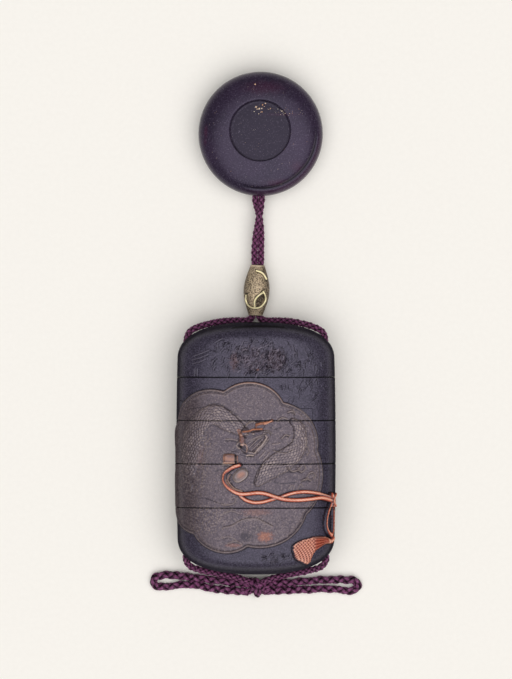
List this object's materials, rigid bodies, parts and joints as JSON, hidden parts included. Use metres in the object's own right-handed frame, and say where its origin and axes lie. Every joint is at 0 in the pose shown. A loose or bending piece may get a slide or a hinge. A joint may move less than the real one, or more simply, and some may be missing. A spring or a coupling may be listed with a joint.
{
  "type": "inro case",
  "caption": "Flat lacquered carrying case of stacked nested boxes on a silk cord, with a slide bead and a round toggle, for hanging from a sash.",
  "frame": {"origin": "centre of the back of the case, on the surface that it lies on, at mid-length", "axes": "+Z out of the carved front, +Y along the case towards the lid and the toggle, +X to the right with the front facing up"},
  "size_m": [0.0726, 0.1798, 0.0247],
  "materials": {
    "lacquer": "black lacquer over wood, satin, with raised brown-grey and coral-red lacquer work",
    "toggle_lacquer": "dark purple-black lacquer, satin",
    "bead_metal": "punched brownish-grey metal with pale gold wire",
    "silk": "braided purple silk"
  },
  "bodies": {
    "root": {"lid": "lacquer", "case_1": "lacquer", "case_2": "lacquer", "case_3": "lacquer", "case_4": "lacquer", "netsuke": "toggle_lacquer", "ojime": "bead_metal", "cord_left": "silk", "cord_right": "silk", "bow_knot": "silk", "bow_loop_left": "silk", "bow_loop_right": "silk"}
  },
  "joints": []
}
